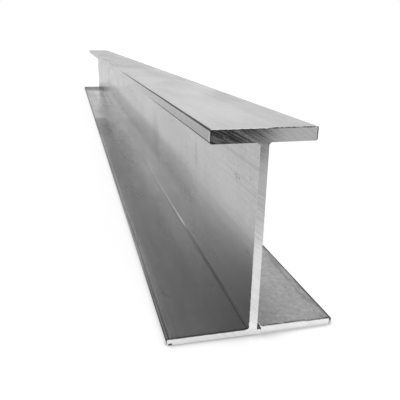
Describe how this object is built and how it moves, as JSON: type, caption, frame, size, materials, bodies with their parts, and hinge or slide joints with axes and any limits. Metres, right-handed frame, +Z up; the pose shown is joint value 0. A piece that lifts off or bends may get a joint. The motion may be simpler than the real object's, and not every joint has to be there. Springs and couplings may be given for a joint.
{
  "type": "steel i-beam",
  "caption": "Straight bare steel I-beam with a narrow thick top flange, a thin web and a wide thin bottom flange, sawn off at both ends.",
  "frame": {"origin": "middle of the underside of the bottom flange", "axes": "+X across the flanges, +Y along the beam away from the stepped sawn end, +Z up through the web"},
  "size_m": [0.084, 1.2, 0.1],
  "materials": {
    "bare_steel": "bare mill finish with fine lengthwise lines, smudges and stains, and bright saw marks on the ends"
  },
  "bodies": {
    "root": {"i_beam": "bare_steel"}
  },
  "joints": []
}
